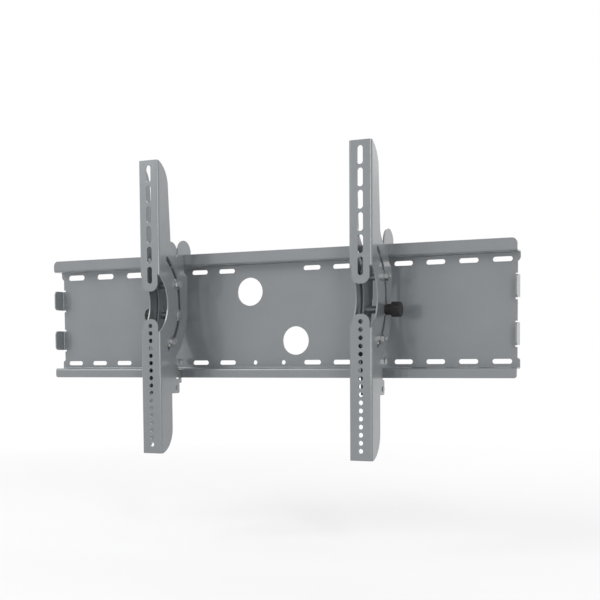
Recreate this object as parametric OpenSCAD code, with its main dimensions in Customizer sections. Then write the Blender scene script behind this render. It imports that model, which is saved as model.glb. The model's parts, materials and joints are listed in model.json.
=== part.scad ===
// Tilting wall mount for a flat screen: a folded wall plate with two hook rails,
// and two tilting arms that hang on it by hook brackets.
// Millimetres. X runs along the rails, Y points into the wall, Z is up.
// The origin is the centre of the wall plate's back face.

/* [Wall plate] */
// Width of the plate and its rails, end to end
plate_width = 914; // [880:1:960]
// Height of the flat web between the two shelves, outside to outside
plate_height = 193; // [188:0.5:198]
// Thickness of the plate's sheet
plate_sheet = 2.5; // [2:0.1:3]
// Outside radius of the plate's bends
plate_bend = 4.5; // [4:0.1:6]
// Depth of both rails from the wall to the front of the lip
rail_depth = 27.5; // [26:0.5:30]
// Height of the upturned lip above the top shelf
top_lip = 19; // [17:0.5:22]
// Height of the downturned lip below the bottom shelf
bottom_lip = 15; // [13:0.5:18]
// Corner radius at the ends of both lips
lip_corner = 9; // [5:0.5:11]
// Height of each end tab
tab_height = 37; // [32:1:42]
// Distance of an end tab's middle from the plate's centre line
tab_offset = 39; // [36:0.5:42]
// Corner radius of the end tabs
tab_corner = 7; // [3:0.5:10]
// Width of the relief notch beside each end tab
relief_width = 3; // [2:0.5:4]
// Depth of the relief notch beside each end tab
relief_depth = 8; // [6:0.5:10]

/* [Wall plate holes] */
// Diameter of the two large cable openings
cable_hole = 51; // [46:0.5:56]
// Sideways offset of both cable openings from the plate's centre
cable_shift = 7.5; // [0:0.5:12]
// Sideways distance of each cable opening from their common middle
cable_half_x = 45.5; // [42:0.5:50]
// Height distance of each cable opening from their common middle
cable_half_z = 45; // [40:0.5:48]
// Height of both slot rows above and below the centre line
row_offset = 84; // [82:0.5:86]
// Spacing of the fixing slots
slot_pitch = 57; // [52:0.5:60]
// Length of a fixing slot
slot_length = 33; // [28:0.5:38]
// Width of a fixing slot
slot_width = 8; // [7:0.1:9]
// Spacing of the three long slots at the upper left
long_pitch = 68; // [64:0.5:72]
// Distance of the outermost long slot from the centre
long_first = 422; // [414:1:426]
// Length of a long slot
long_length = 38; // [34:0.5:42]
// Width of a long slot
long_width = 10; // [8:0.1:11]

/* [Arms] */
// Distance between the two arms, middle to middle
arm_spacing = 400; // [380:1:420]
// Sideways position of the middle between the arms
arm_shift = 23; // [-40:1:40]
// Distance of the arm's front face from the wall
arm_front = 122; // [120:0.5:126]
// Outside width of an arm
arm_width = 40; // [39:0.1:44]
// Thickness of the arm's sheet
arm_sheet = 2.5; // [2:0.1:2.6]
// Outside radius of the arm's bends
arm_bend = 4; // [3.6:0.1:5]
// Height of the arm's top end above the plate's centre
arm_top = 274; // [270:0.5:280]
// Depth of the arm's bottom end below the plate's centre
arm_bottom = 245.5; // [242:0.5:252]
// Depth of the side flange near the top end
flange_top_depth = 33.5; // [31:0.5:36]
// Depth of the side flange just above the swing plate
flange_mid_depth = 39.5; // [38:0.5:42]
// Depth of the side flange of the lower half
flange_low_depth = 38.5; // [36:0.5:40]
// Radius of the large rounding at both ends of a flange
flange_round = 45; // [40:1:50]
// Slope of the flange's edge down to the swing plate's shoulder, in degrees
diagonal_slope = 45; // [42:0.5:48]
// Radius between the upper flange's edge and that slope
diagonal_fillet = 24; // [18:1:32]
// Depth of the swing plate's lower corner below the plate's centre
swing_end = 62; // [60:0.5:64]
// Depth of the lower flange's upper end below the plate's centre
flange_low_start = 88; // [86:0.5:91]

/* [Arm face] */
// Number of screw slots in the upper face
face_slots = 6;
// Spacing of the screw slots
face_slot_pitch = 35.6; // [34:0.1:37]
// Length of a screw slot
face_slot_length = 30; // [27:0.5:32]
// Width of a screw slot
face_slot_width = 9.6; // [8.6:0.1:10.4]
// Distance of the first screw slot's middle from the arm's top end
face_slot_first = 24; // [20:0.5:28]
// Number of screw holes in the lower face
face_holes = 17;
// Spacing of the screw holes
face_hole_pitch = 13.24; // [12.8:0.01:13.5]
// Diameter of a screw hole
face_hole = 7.8; // [6.6:0.1:8.4]
// Distance of the last screw hole from the arm's bottom end
face_hole_last = 16; // [12:0.5:17]
// Width of the two tongues that reach into the open middle
tongue_width = 31; // [28:0.5:31.5]
// Width of the flat at the end of a tongue
tongue_flat = 4; // [2:0.5:8]
// Height of the upper tongue's end above the tilt axis
upper_tongue = 21; // [18:0.5:24]
// Depth of the lower tongue's end below the tilt axis
lower_tongue = 28; // [25:0.5:31]

/* [Tilt guide] */
// Distance of the tilt axis in front of the arm's face
axis_front = 30; // [28:0.5:32]
// Height of the tilt axis above the plate's centre
axis_height = 22.5; // [20:0.5:25]
// Radius of the guide slot about the tilt axis
guide_radius = 98.5; // [97:0.5:100]
// Tilt of an arm's top away from the wall, up to the slot's end, in degrees
tilt_forward = 10; // [8:0.5:12]
// Play between the lower guide bolt and the slot's end at full tilt, in degrees
tilt_end_play = 0.2; // [0.1:0.05:0.5]
// Width of the guide slot
guide_width = 8.6; // [8.5:0.1:9.2]
// Radius of the crescent cut at the front of the swing plate
crescent_radius = 59; // [57:0.5:61]
// Radius of the swing plate's lower rear edge
swing_radius = 127; // [124:0.5:129]
// Height of the swing plate's upper shoulder above the tilt axis
shoulder_height = 56.5; // [52:0.5:58]
// Rounding of the swing plate's upper rear corner
shoulder_round = 8; // [5:0.5:12]
// Angle of the upper guide bolt above the tilt axis
bolt_upper_angle = 21.5; // [20:0.5:23]
// Angle of the clamp bolt below the tilt axis
bolt_clamp_angle = 11; // [9:0.5:12]
// Angle of the lower guide bolt below the tilt axis
bolt_lower_angle = 43.5; // [42:0.5:44]

/* [Hook bracket] */
// Gap between arm and bracket plates, filled by the friction washers
side_gap = 2; // [1.8:0.1:2.2]
// Thickness of the hook bracket's sheet
hook_sheet = 2.5; // [2:0.1:3]
// Outside radius of the hook bracket's bends
hook_bend = 4; // [3.6:0.1:4.5]
// Radius of the rounded hook above the top rail
hook_radius = 24; // [22:0.5:24.5]
// Play of the lip in the hook's throat, each side
throat_play = 0.8; // [0.6:0.1:1.2]
// Gap between the hook's rear leg and the shelf
leg_gap = 3; // [2:0.5:4]
// Gap between the hook's rear leg and the wall
leg_wall_gap = 3; // [2.6:0.1:4]
// Corner radius at the lower end of the hook's rear leg
leg_corner = 3; // [2:0.5:4]
// Radius of the hook bracket's front edge about the tilt axis
hook_front_radius = 82; // [80:0.5:84]
// Radius of the hook bracket's rear edge about the tilt axis
hook_rear_radius = 120; // [117:0.5:122]
// Rim of the bracket's plate in front of and below the lower friction washer
ear_rim = 2; // [1:0.5:3]
// Gap between that rim and the upper edge of the lower web
web_relief = 1; // [0.5:0.5:3]
// Distance of the bracket's lower web from the wall
web_front = 84; // [82:0.5:86]
// Distance of the lower plate's rear edge from the wall
lower_rear = 61; // [58:0.5:63]
// Distance of the finger's tip from the wall
finger_tip = 36; // [34:0.5:39]
// Height of the finger
finger_height = 12; // [11:0.5:13]
// Depth of the finger's middle below the plate's centre
finger_drop = 82; // [81:0.5:83]
// Distance of the tail's rear edge from the wall
tail_rear = 50; // [48:0.5:52]
// Depth of the tail's upper end below the plate's centre
tail_start = 114; // [113:0.5:116]
// Depth of the tail's lower end below the plate's centre
tail_end = 139.5; // [138:0.5:142]

/* [Bolts and washers] */
// Shank diameter of the guide and clamp bolts
bolt_shank = 8; // [7.6:0.1:8.1]
// Play of a bolt in the bracket's holes, on the radius
bolt_play = 0.1; // [0.05:0.01:0.1]
// Play between the clamp bolt and the thread in the knob, on the radius
thread_play = 0.05; // [0.02:0.01:0.1]
// Width of hexagon heads and nuts across the flats
hex_width = 13; // [12:0.5:14]
// Thickness of a hexagon head
head_height = 5.3; // [4.5:0.1:6]
// Thickness of a hexagon nut
nut_height = 6.5; // [5.5:0.1:7]
// Length of bolt thread beyond its nut
thread_end = 2.5; // [1.5:0.5:4]
// Outside diameter of the steel washers
washer_diameter = 17; // [16:0.5:18]
// Thickness of the steel washers
washer_thick = 1.6; // [1.2:0.1:2]
// Outside diameter of the friction washers
friction_diameter = 20; // [18:0.5:22]
// Outside diameter of the spacer tubes
spacer_diameter = 13; // [12:0.5:14]
// Diameter of the clamp bolt's domed head
dome_diameter = 17; // [16:0.5:18]
// Height of the clamp bolt's domed head
dome_height = 4.2; // [3.6:0.1:5]

/* [Knob] */
// Diameter of the knob's grip
knob_diameter = 25.5; // [23:0.5:28]
// Length of the knob's grip
knob_length = 17; // [15:0.5:21]
// Diameter of the knob's collar
collar_diameter = 18.5; // [17:0.5:20]
// Length of the knob's collar
collar_length = 12; // [9:0.5:13]
// Number of grooves around the grip
knob_grooves = 12;
// Radius of a groove around the grip
groove_radius = 1.6; // [1.2:0.1:1.8]
// Rounding of the grip's outer rim
knob_round = 2.5; // [1.5:0.1:3]
// Outside diameter of the threaded insert in the knob
insert_diameter = 12; // [11:0.5:13]
// Length of the threaded insert in the knob
insert_length = 14; // [12:0.5:15]
// Distance of the clamp bolt's end from the insert's inner end
insert_spare = 2; // [1:0.5:3]

/* [Latch] */
// Diameter of the latch pin and the stop pin
pin_diameter = 6; // [5:0.1:6.4]
// Diameter of a pin's flat head
pin_head = 9; // [8:0.5:10]
// Thickness of a pin's flat head
pin_head_thick = 1.2; // [1:0.1:1.4]
// Distance of the latch pin from the wall
latch_pin_y = 56.5; // [56:0.5:59]
// Depth of the latch pin below the plate's centre
latch_pin_z = 129.5; // [128:0.5:130]
// Thickness of the latch
latch_thick = 4; // [3:0.1:5]
// Play between the latch and its pin, on the radius
latch_play = 0.1; // [0.05:0.01:0.1]
// Radius of the latch's boss round its pin
latch_boss = 9; // [8:0.5:9.5]
// Gap between the latch and the lip's bottom edge
latch_gap = 2; // [1.5:0.1:3]
// Height of the latch's arm under the lip
latch_arm = 8; // [6:0.5:9]
// Height that the latch's nose reaches up behind the lip
nose_reach = 9; // [7:0.5:10]
// Thickness of the latch's nose
nose_thick = 4.6; // [4.2:0.1:6]
// Gap between the latch's nose and the lip
nose_play = 0.8; // [0.5:0.1:1.5]
// Corner radius of the latch's nose
nose_round = 1.8; // [1:0.1:2]
// Height of the latch's release lever behind the web
lever_height = 7; // [6:0.5:8]
// Gap between the release lever and the web
lever_gap = 3; // [2:0.5:5]
// Wire thickness of the latch spring
spring_wire = 1.2; // [1:0.1:1.5]
// Number of coils of the latch spring
spring_coils = 5;
// Play between the spring's coils and the pin, on the radius
spring_play = 0.6; // [0.3:0.1:1]
// Gap between the spring's first coil and the latch
spring_gap = 0.3; // [0.2:0.1:0.6]
// Length of the spring's leg under the latch
spring_leg = 15; // [12:0.5:18]

/* [Rail stop] */
// Width of the rail stop between the bracket plates
stop_width = 8; // [6:0.5:12]
// Radius of the rail stop's boss round its pin
stop_boss = 7; // [6:0.5:8]
// Gap between the rail stop and the outer face of the shelf's bend
stop_top_gap = 1.5; // [1:0.1:3]
// Distance of the rail stop's lower edge above the lip's edge
stop_edge = 2; // [1:0.5:4]
// Length of the rail stop's flat top behind the lip's front
stop_flat = 6; // [4:0.5:8]
// Distance of the stop pin from the finger's tip
stop_pin_inset = 10; // [9:0.5:12]

/* [Hidden] */
$fn = 64;
reach = arm_top + arm_bottom;
// step by which joined outlines overlap, so that none of their edges coincide
lap = 1;
// share of an end rounding that is used, so that the round crosses the end's straight edge
round_share = 0.97;

// levels of the wall plate
shelf_z = plate_height / 2;
lip_top_z = shelf_z + top_lip;
lip_bottom_z = -shelf_z - bottom_lip;
plate_inner_bend = plate_bend - plate_sheet;
half_w = plate_width / 2;

// the arm: front face, tilt axis and flange widths
front_y = -arm_front;
axis_y = front_y - axis_front;
axis_z = axis_height;
arm_half = arm_width / 2;
arm_inner_half = arm_half - arm_sheet;
arm_inner_bend = arm_bend - arm_sheet;
left_x = arm_shift - arm_spacing / 2;
right_x = arm_shift + arm_spacing / 2;
rear_y = axis_y + swing_radius;
shoulder_z = axis_z + shoulder_height;
swing_end_z = -swing_end;
guide_angle = bolt_lower_angle + tilt_forward + tilt_end_play;

// the hook bracket: plates nested inside the arm
hook_half = arm_inner_half - side_gap;
hook_inner_half = hook_half - hook_sheet;
hook_inner_bend = hook_bend - hook_sheet;
lip_mid_y = -(rail_depth - plate_sheet / 2);
throat_front = -rail_depth - throat_play;
throat_rear = -rail_depth + plate_sheet + throat_play;
hook_z = lip_top_z + 2;
web_y = -web_front;
bolt_hole = bolt_shank / 2 + bolt_play;

// bolts in the bracket, as positions on the guide circle
upper_y = axis_y + guide_radius * cos(bolt_upper_angle);
upper_z = axis_z + guide_radius * sin(bolt_upper_angle);
clamp_y = axis_y + guide_radius * cos(bolt_clamp_angle);
clamp_z = axis_z - guide_radius * sin(bolt_clamp_angle);
lower_y = axis_y + guide_radius * cos(bolt_lower_angle);
lower_z = axis_z - guide_radius * sin(bolt_lower_angle);
ear_radius = friction_diameter / 2 + ear_rim;
web_top_z = lower_z - ear_radius - web_relief;

// stop pin in the finger, latch pin in the tail
stop_pin_y = -(finger_tip + stop_pin_inset);
stop_pin_z = -finger_drop;
latch_y = -latch_pin_y;
latch_z = -latch_pin_z;
pin_hole = pin_diameter / 2 + latch_play;

coat = [0.56, 0.58, 0.59];
coat_dark = [0.50, 0.52, 0.53];
zinc = [0.80, 0.81, 0.82];
black = [0.07, 0.07, 0.08];
grey = [0.42, 0.44, 0.45];
nylon = [0.90, 0.89, 0.85];
brass = [0.72, 0.60, 0.32];

// side view outline, drawn as [y, z], pushed along X from x0 for a length w
module along_x(x0, w) {
    translate([x0, 0, 0])
        rotate([90, 0, 90])
            linear_extrude(height = w)
                children();
}

// front view outline, drawn as [x, z], from the depth y0 towards the room
module along_y(y0, w) {
    translate([0, y0, 0])
        rotate([90, 0, 0])
            linear_extrude(height = w)
                children();
}

// a box from corner to corner
module box(x0, x1, y0, y1, z0, z1) {
    translate([x0, y0, z0])
        cube([x1 - x0, y1 - y0, z1 - z0]);
}

// flat rectangle from corner to corner
module rect(x0, x1, y0, y1) {
    translate([x0, y0])
        square([x1 - x0, y1 - y0]);
}

// rectangle with four equal round corners
module round_rect(x0, x1, y0, y1, r) {
    rect(x0 + r, x1 - r, y0, y1);
    rect(x0, x1, y0 + r, y1 - r);
    for (x = [x0 + r, x1 - r]) {
        for (y = [y0 + r, y1 - r]) {
            translate([x, y])
                circle(r);
        }
    }
}

// slot outline: total length l along the first axis, width w
module slot_flat(l, w) {
    rect(-(l - w) / 2, (l - w) / 2, -w / 2, w / 2);
    for (s = [-1, 1]) {
        translate([s * (l - w) / 2, 0])
            circle(w / 2);
    }
}

// quarter of a bend: ring sector with outer radius ro in the quadrant qx, qy
module quarter_ring(cx, cy, ro, t, qx, qy) {
    translate([cx, cy]) {
        intersection() {
            difference() {
                circle(ro);
                circle(ro - t);
            }
            rect(min(0, qx * ro), max(0, qx * ro), min(0, qy * ro), max(0, qy * ro));
        }
    }
}

// section of the folded plate, drawn as [y, z]
module plate_section() {
    b = plate_bend;
    t = plate_sheet;
    rect(-t, 0, -shelf_z + b, shelf_z - b);
    // top: web to shelf, shelf, shelf to lip, lip
    quarter_ring(-b, shelf_z - b, b, t, 1, 1);
    rect(-rail_depth + plate_inner_bend + t, -b, shelf_z - t, shelf_z);
    quarter_ring(-rail_depth + b, shelf_z - t + b, b, t, -1, -1);
    rect(-rail_depth, -rail_depth + t, shelf_z - t + b, lip_top_z);
    // bottom: the same downwards
    quarter_ring(-b, -shelf_z + b, b, t, 1, -1);
    rect(-rail_depth + plate_inner_bend + t, -b, -shelf_z, -shelf_z + t);
    quarter_ring(-rail_depth + b, -shelf_z + t - b, b, t, -1, 1);
    rect(-rail_depth, -rail_depth + t, lip_bottom_z, -shelf_z + t - b);
}

// front view outline of the whole plate, with rounded lip ends
module plate_outline() {
    round_rect(-half_w, half_w, lip_bottom_z, -shelf_z + 2 * plate_bend + lip_corner, lip_corner / 2);
    round_rect(-half_w, half_w, shelf_z - 2 * plate_bend - lip_corner, lip_top_z, lip_corner);
    rect(-half_w + plate_bend, half_w - plate_bend, -shelf_z, shelf_z);
}

// fixing slots of both rows, drawn as [x, z]
module fixing_slots() {
    for (k = [1 : 7]) {
        x = slot_pitch * (k + 0.5);
        translate([x, row_offset])
            slot_flat(slot_length, slot_width);
        for (s = [-1, 1]) {
            translate([s * x, -row_offset])
                slot_flat(slot_length, slot_width);
        }
    }
    for (k = [1 : 3]) {
        translate([-slot_pitch * (k + 0.5), row_offset])
            slot_flat(slot_length, slot_width);
    }
    for (k = [0 : 2]) {
        translate([-long_first + long_pitch * k, row_offset])
            slot_flat(long_length, long_width);
    }
    for (s = [-1, 1]) {
        translate([s * slot_pitch / 2, -row_offset])
            circle(slot_width / 2);
    }
}

// one end tab with its bend, for the right end
module end_tab(zm) {
    b = plate_bend;
    t = plate_sheet;
    x1 = half_w;
    translate([0, 0, zm - tab_height / 2])
        linear_extrude(height = tab_height)
            quarter_ring(x1 - b, -b, b, t, 1, 1);
    along_x(x1 - t, t) {
        round_rect(-rail_depth, -b - tab_corner, zm - tab_height / 2, zm + tab_height / 2, tab_corner);
        rect(-rail_depth + tab_corner, -b, zm - tab_height / 2, zm + tab_height / 2);
    }
}

module wall_plate() {
    color(coat)
    union() {
        difference() {
            intersection() {
                along_x(-half_w, plate_width)
                    plate_section();
                along_y(reach, 2 * reach)
                    plate_outline();
            }
            along_y(1, plate_sheet + 2)
                fixing_slots();
            for (s = [-1, 1]) {
                translate([cable_shift + s * cable_half_x, 0, -s * cable_half_z])
                    rotate([90, 0, 0])
                        cylinder(h = 4 * plate_sheet, r = cable_hole / 2, center = true);
                for (zm = [-tab_offset, tab_offset]) {
                    for (q = [-1, 1]) {
                        zr = zm + q * (tab_height + relief_width) / 2;
                        box(s * (half_w + 1) - (s > 0 ? relief_depth + 1 : 0),
                            s * (half_w + 1) + (s > 0 ? 0 : relief_depth + 1),
                            -plate_sheet - 1, 1,
                            zr - relief_width / 2, zr + relief_width / 2);
                    }
                }
            }
        }
        for (zm = [-tab_offset, tab_offset]) {
            end_tab(zm);
            mirror([1, 0, 0])
                end_tab(zm);
        }
    }
}

// U-shaped section, drawn as [x, y]: open to the rear, front corners round
module channel_section(half, t, b, y0, y1) {
    rect(-half + b, half - b, y0, y0 + t);
    for (s = [-1, 1]) {
        quarter_ring(s * (half - b), y0 + b, b, t, s, -1);
        rect(s > 0 ? half - t : -half, s > 0 ? half : -half + t, y0 + b, y1);
    }
}

// points along an arc about the centre c, with radius r, from the angle a0 to a1
function arc_points(c, r, a0, a1, steps = 12) =
    [for (k = [0 : steps]) c + r * [cos(a0 + (a1 - a0) * k / steps), sin(a0 + (a1 - a0) * k / steps)]];

// side outline of an arm, drawn as [y, z]; its front edges lie ahead of the channel's face
module arm_side() {
    f = front_y;
    top_z = arm_top - flange_round * round_share;
    low_z = -arm_bottom + flange_round * round_share;
    arc_end_y = axis_y + sqrt(pow(swing_radius, 2) - pow(axis_z - swing_end_z, 2));
    // where the upper flange's edge meets the slope, and the fillet between them
    mid_y = f + flange_mid_depth;
    top_y = f + flange_top_depth;
    meet_z = shoulder_z + (rear_y - shoulder_round - mid_y) * tan(diagonal_slope);
    fillet_z = meet_z + diagonal_fillet * tan((90 - diagonal_slope) / 2);
    lean = atan((mid_y - top_y) / (top_z - fillet_z));
    // upper flange, widening towards the swing plate
    polygon(concat(
        [[f - lap, axis_z - lap],
         [rear_y - shoulder_round, axis_z - lap],
         [rear_y - shoulder_round, shoulder_z]],
        arc_points([mid_y + diagonal_fillet, fillet_z], diagonal_fillet, 270 - diagonal_slope, 180 - lean),
        [[top_y, top_z],
         [f - lap, top_z]]
    ));
    intersection() {
        rect(f - 2 * lap, top_y + lap, top_z - 2 * lap, arm_top);
        translate([top_y - flange_round, top_z])
            circle(flange_round);
    }
    // swing plate: upright rear edge above the axis, arc below it
    rect(rear_y - shoulder_round - 2 * lap, rear_y, axis_z - 2 * lap, shoulder_z - shoulder_round);
    translate([rear_y - shoulder_round, shoulder_z - shoulder_round])
        circle(shoulder_round);
    intersection() {
        translate([axis_y, axis_z])
            circle(swing_radius);
        rect(f - 3 * lap, rear_y + lap, swing_end_z, axis_z + 3 * lap);
    }
    // lower flange
    low_y = f + flange_low_depth;
    polygon([
        [f - 4 * lap, low_z],
        [low_y, low_z],
        [low_y, -flange_low_start],
        [arc_end_y - lap / 2, swing_end_z + lap / 2],
        [arc_end_y - 3 * lap, swing_end_z + 5 * lap],
        [f - 4 * lap, swing_end_z + 5 * lap]
    ]);
    intersection() {
        rect(f - 5 * lap, low_y + lap, -arm_bottom, low_z + 2 * lap);
        translate([low_y - flange_round, low_z])
            circle(flange_round);
    }
}

// arc of the guide slot, drawn as [y, z]
module guide_slot() {
    r = guide_radius;
    w = guide_width / 2;
    a = guide_angle;
    translate([axis_y, axis_z]) {
        intersection() {
            difference() {
                circle(r + w);
                circle(r - w);
            }
            polygon([[0, 0], [2 * r * cos(a), -2 * r * sin(a)], [2 * r * cos(a), 2 * r * sin(a)]]);
        }
        // the round ends are a hair wider than the slot, so that they cross its sides
        for (s = [-1, 1]) {
            translate([r * cos(a), s * r * sin(a)])
                circle(w + 0.06);
        }
    }
}

// outline of the two tongues, drawn as [x, z]
module tongues() {
    h = tongue_width / 2;
    r = h - tongue_flat / 2;
    upper_end_z = axis_z + upper_tongue;
    lower_end_z = axis_z - lower_tongue;
    round_rect(-h, h, upper_end_z, axis_z + crescent_radius, r);
    rect(-h, h, upper_end_z + r + lap, axis_z + crescent_radius + lap);
    round_rect(-h, h, axis_z - crescent_radius, lower_end_z, r);
    rect(-h, h, axis_z - crescent_radius - lap, lower_end_z - r - lap);
}

module arm_body() {
    difference() {
        intersection() {
            translate([0, 0, -arm_bottom])
                linear_extrude(height = arm_bottom + arm_top)
                    channel_section(arm_half, arm_sheet, arm_bend, front_y, rear_y + 1);
            along_x(-arm_half, arm_width)
                arm_side();
        }
        // crescent, which leaves the tongues standing
        difference() {
            translate([-arm_width, axis_y, axis_z])
                rotate([0, 90, 0])
                    cylinder(h = 2 * arm_width, r = crescent_radius);
            along_y(front_y + arm_sheet, 2 * arm_sheet)
                tongues();
        }
        along_x(-arm_width, 2 * arm_width)
            guide_slot();
        along_y(front_y + 2 * arm_sheet, 3 * arm_sheet) {
            for (k = [0 : face_slots - 1]) {
                translate([0, arm_top - face_slot_first - face_slot_pitch * k])
                    rotate(90)
                        slot_flat(face_slot_length, face_slot_width);
            }
            for (k = [0 : face_holes - 1]) {
                translate([0, -arm_bottom + face_hole_last + face_hole_pitch * k])
                    circle(face_hole / 2);
            }
        }
    }
}

// side outline of a hook bracket, drawn as [y, z]
module hook_side() {
    leg_y = -leg_wall_gap;
    leg_z = shelf_z + leg_gap;
    // rounded hook with its rear leg
    intersection() {
        translate([lip_mid_y, hook_z])
            circle(hook_radius);
        rect(lip_mid_y - hook_radius - 1, leg_y, leg_z, hook_z + hook_radius + 1);
    }
    rect(throat_rear, leg_y, leg_z + leg_corner, hook_z);
    round_rect(throat_rear, leg_y, leg_z, hook_z + 1, leg_corner);
    // neck and body, front edge an arc about the tilt axis, down to the ear at the lower bolt
    difference() {
        intersection() {
            polygon([
                [lip_mid_y - hook_radius, hook_z],
                [lip_mid_y - hook_radius - 4, hook_z - 12],
                [web_y + 8, shoulder_z + 6],
                [web_y, shoulder_z - 12],
                [web_y, axis_z],
                [lower_y - ear_radius, lower_z],
                [web_y, lower_z],
                [web_y, swing_end_z],
                [throat_front, swing_end_z],
                [throat_front, hook_z]
            ]);
            union() {
                translate([axis_y, axis_z])
                    circle(hook_rear_radius);
                rect(web_y, throat_front, axis_z, hook_z + hook_radius);
            }
        }
        translate([axis_y, axis_z])
            circle(hook_front_radius);
        rect(-lower_rear, throat_front + 1, swing_end_z - 1, swing_end_z + 6);
    }
    translate([lower_y, lower_z])
        circle(ear_radius);
    // lower plate with the finger above the bottom rail and the tail below it
    rect(web_y, -lower_rear, -tail_end + 3, swing_end_z + 12);
    round_rect(web_y, -lower_rear, -tail_end, swing_end_z, 3);
    round_rect(web_y, -finger_tip, -finger_drop - finger_height / 2, -finger_drop + finger_height / 2, 4);
    round_rect(web_y, -tail_rear, -tail_end, -tail_start, 4);
}

module hook_body() {
    difference() {
        union() {
            // channel with the lower web
            intersection() {
                translate([0, 0, -tail_end])
                    linear_extrude(height = tail_end + web_top_z)
                        channel_section(hook_half, hook_sheet, hook_bend, web_y, 0);
                along_x(-hook_half, 2 * hook_half)
                    hook_side();
            }
            // flat plates above the web
            for (x0 = [-hook_half, hook_inner_half]) {
                along_x(x0, hook_sheet) {
                    intersection() {
                        hook_side();
                        rect(-arm_front, 0, web_top_z, reach);
                    }
                }
            }
        }
        // the lip's throat
        box(-arm_half, arm_half, throat_front, throat_rear, axis_z, lip_top_z);
        for (p = [[upper_y, upper_z], [clamp_y, clamp_z], [lower_y, lower_z]]) {
            translate([-arm_half, p[0], p[1]])
                rotate([0, 90, 0])
                    cylinder(h = arm_width, r = bolt_hole);
        }
        for (p = [[stop_pin_y, stop_pin_z], [latch_y, latch_z]]) {
            translate([-arm_half, p[0], p[1]])
                rotate([0, 90, 0])
                    cylinder(h = arm_width, r = pin_hole);
        }
    }
}

// hexagon prism along X, from x0 for a length h
module hex_x(x0, h) {
    translate([x0, 0, 0])
        rotate([0, 90, 0])
            intersection() {
                cylinder(h = h, r = hex_width / sqrt(3), $fn = 6);
                cylinder(h = h, r = hex_width / sqrt(3) - 0.35);
            }
}

// ring along X, from x0 for a length h
module ring_x(x0, h, ro, ri) {
    translate([x0, 0, 0])
        rotate([0, 90, 0])
            difference() {
                cylinder(h = h, r = ro);
                translate([0, 0, -1])
                    cylinder(h = h + 2, r = ri);
            }
}

// bolt with its head on the inner side and its thread on the outer side
module guide_bolt() {
    stack = arm_half + washer_thick;
    hex_x(stack, head_height);
    translate([-stack - nut_height - thread_end, 0, 0])
        rotate([0, 90, 0])
            cylinder(h = 2 * stack + nut_height + thread_end + head_height / 2, r = bolt_shank / 2);
}

module guide_nut() {
    stack = arm_half + washer_thick;
    difference() {
        hex_x(-stack - nut_height, nut_height);
        translate([-reach, 0, 0])
            rotate([0, 90, 0])
                cylinder(h = 2 * reach, r = bolt_shank / 2);
    }
}

module at_upper() {
    translate([0, upper_y, upper_z])
        children();
}

module at_lower() {
    translate([0, lower_y, lower_z])
        children();
}

module at_clamp() {
    translate([0, clamp_y, clamp_z])
        children();
}

module nut_pair() {
    at_upper()
        guide_nut();
    at_lower()
        guide_nut();
}

module washer_set() {
    for (s = [0, 1]) {
        mirror([s, 0, 0]) {
            at_upper()
                ring_x(arm_half, washer_thick, washer_diameter / 2, bolt_hole);
            at_lower()
                ring_x(arm_half, washer_thick, washer_diameter / 2, bolt_hole);
        }
    }
}

module friction_set() {
    for (s = [0, 1]) {
        mirror([s, 0, 0]) {
            at_upper()
                ring_x(hook_half, side_gap, friction_diameter / 2, bolt_hole);
            at_lower()
                ring_x(hook_half, side_gap, friction_diameter / 2, bolt_hole);
            at_clamp()
                ring_x(hook_half, side_gap, friction_diameter / 2, bolt_hole);
        }
    }
}

module spacer_set() {
    at_upper()
        ring_x(-hook_inner_half, 2 * hook_inner_half, spacer_diameter / 2, bolt_hole);
    at_lower()
        ring_x(-hook_inner_half, 2 * hook_inner_half, spacer_diameter / 2, bolt_hole);
    at_clamp()
        ring_x(-hook_inner_half, 2 * hook_inner_half, spacer_diameter / 2, bolt_hole);
}

// half section of the clamp bolt, drawn as [radius, distance from the thread's end]
module clamp_bolt_profile() {
    r_dome = (pow(dome_diameter / 2, 2) + pow(dome_height, 2)) / (2 * dome_height);
    base = 2 * arm_half + washer_thick + insert_length - insert_spare;
    rect(0, bolt_shank / 2, 0, base + dome_height / 2);
    intersection() {
        translate([0, base + dome_height - r_dome])
            circle(r_dome);
        rect(0, dome_diameter, base, base + dome_height + 1);
    }
}

// domed head on the inner side, thread reaching into the knob's insert
module clamp_bolt_body() {
    at_clamp()
        translate([-arm_half - washer_thick - insert_length + insert_spare, 0, 0])
            rotate([0, 90, 0])
                rotate_extrude()
                    clamp_bolt_profile();
}

module knob_washer_body() {
    at_clamp()
        ring_x(-arm_half - washer_thick, washer_thick, washer_diameter / 2, bolt_hole);
}

module knob_insert_body() {
    x0 = -arm_half - washer_thick - insert_length;
    at_clamp()
        difference() {
            translate([x0, 0, 0])
                rotate([0, 90, 0])
                    cylinder(h = insert_length, r = insert_diameter / 2);
            translate([x0 - 1, 0, 0])
                rotate([0, 90, 0])
                    cylinder(h = insert_length + 2, r = bolt_shank / 2 + thread_play);
        }
}

// turned profile of the knob, drawn as [radius, distance from the washer]
module knob_profile() {
    rk = knob_diameter / 2;
    l = collar_length + knob_length;
    rect(0, collar_diameter / 2, 0, collar_length + 1);
    rect(0, rk, collar_length, l - knob_round);
    rect(0, rk - knob_round, collar_length, l);
    translate([rk - knob_round, l - knob_round])
        circle(knob_round);
}

module knob_body() {
    x0 = -arm_half - washer_thick;
    at_clamp()
        translate([x0, 0, 0])
            rotate([0, -90, 0])
                difference() {
                    rotate_extrude()
                        knob_profile();
                    translate([0, 0, -1])
                        cylinder(h = insert_length + 1, r = insert_diameter / 2);
                    for (k = [0 : knob_grooves - 1]) {
                        rotate([0, 0, k * 360 / knob_grooves])
                            translate([knob_diameter / 2 + groove_radius * 0.4, 0, collar_length + 2])
                                cylinder(h = knob_length + 2, r = groove_radius, $fn = 24);
                    }
                }
}

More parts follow.
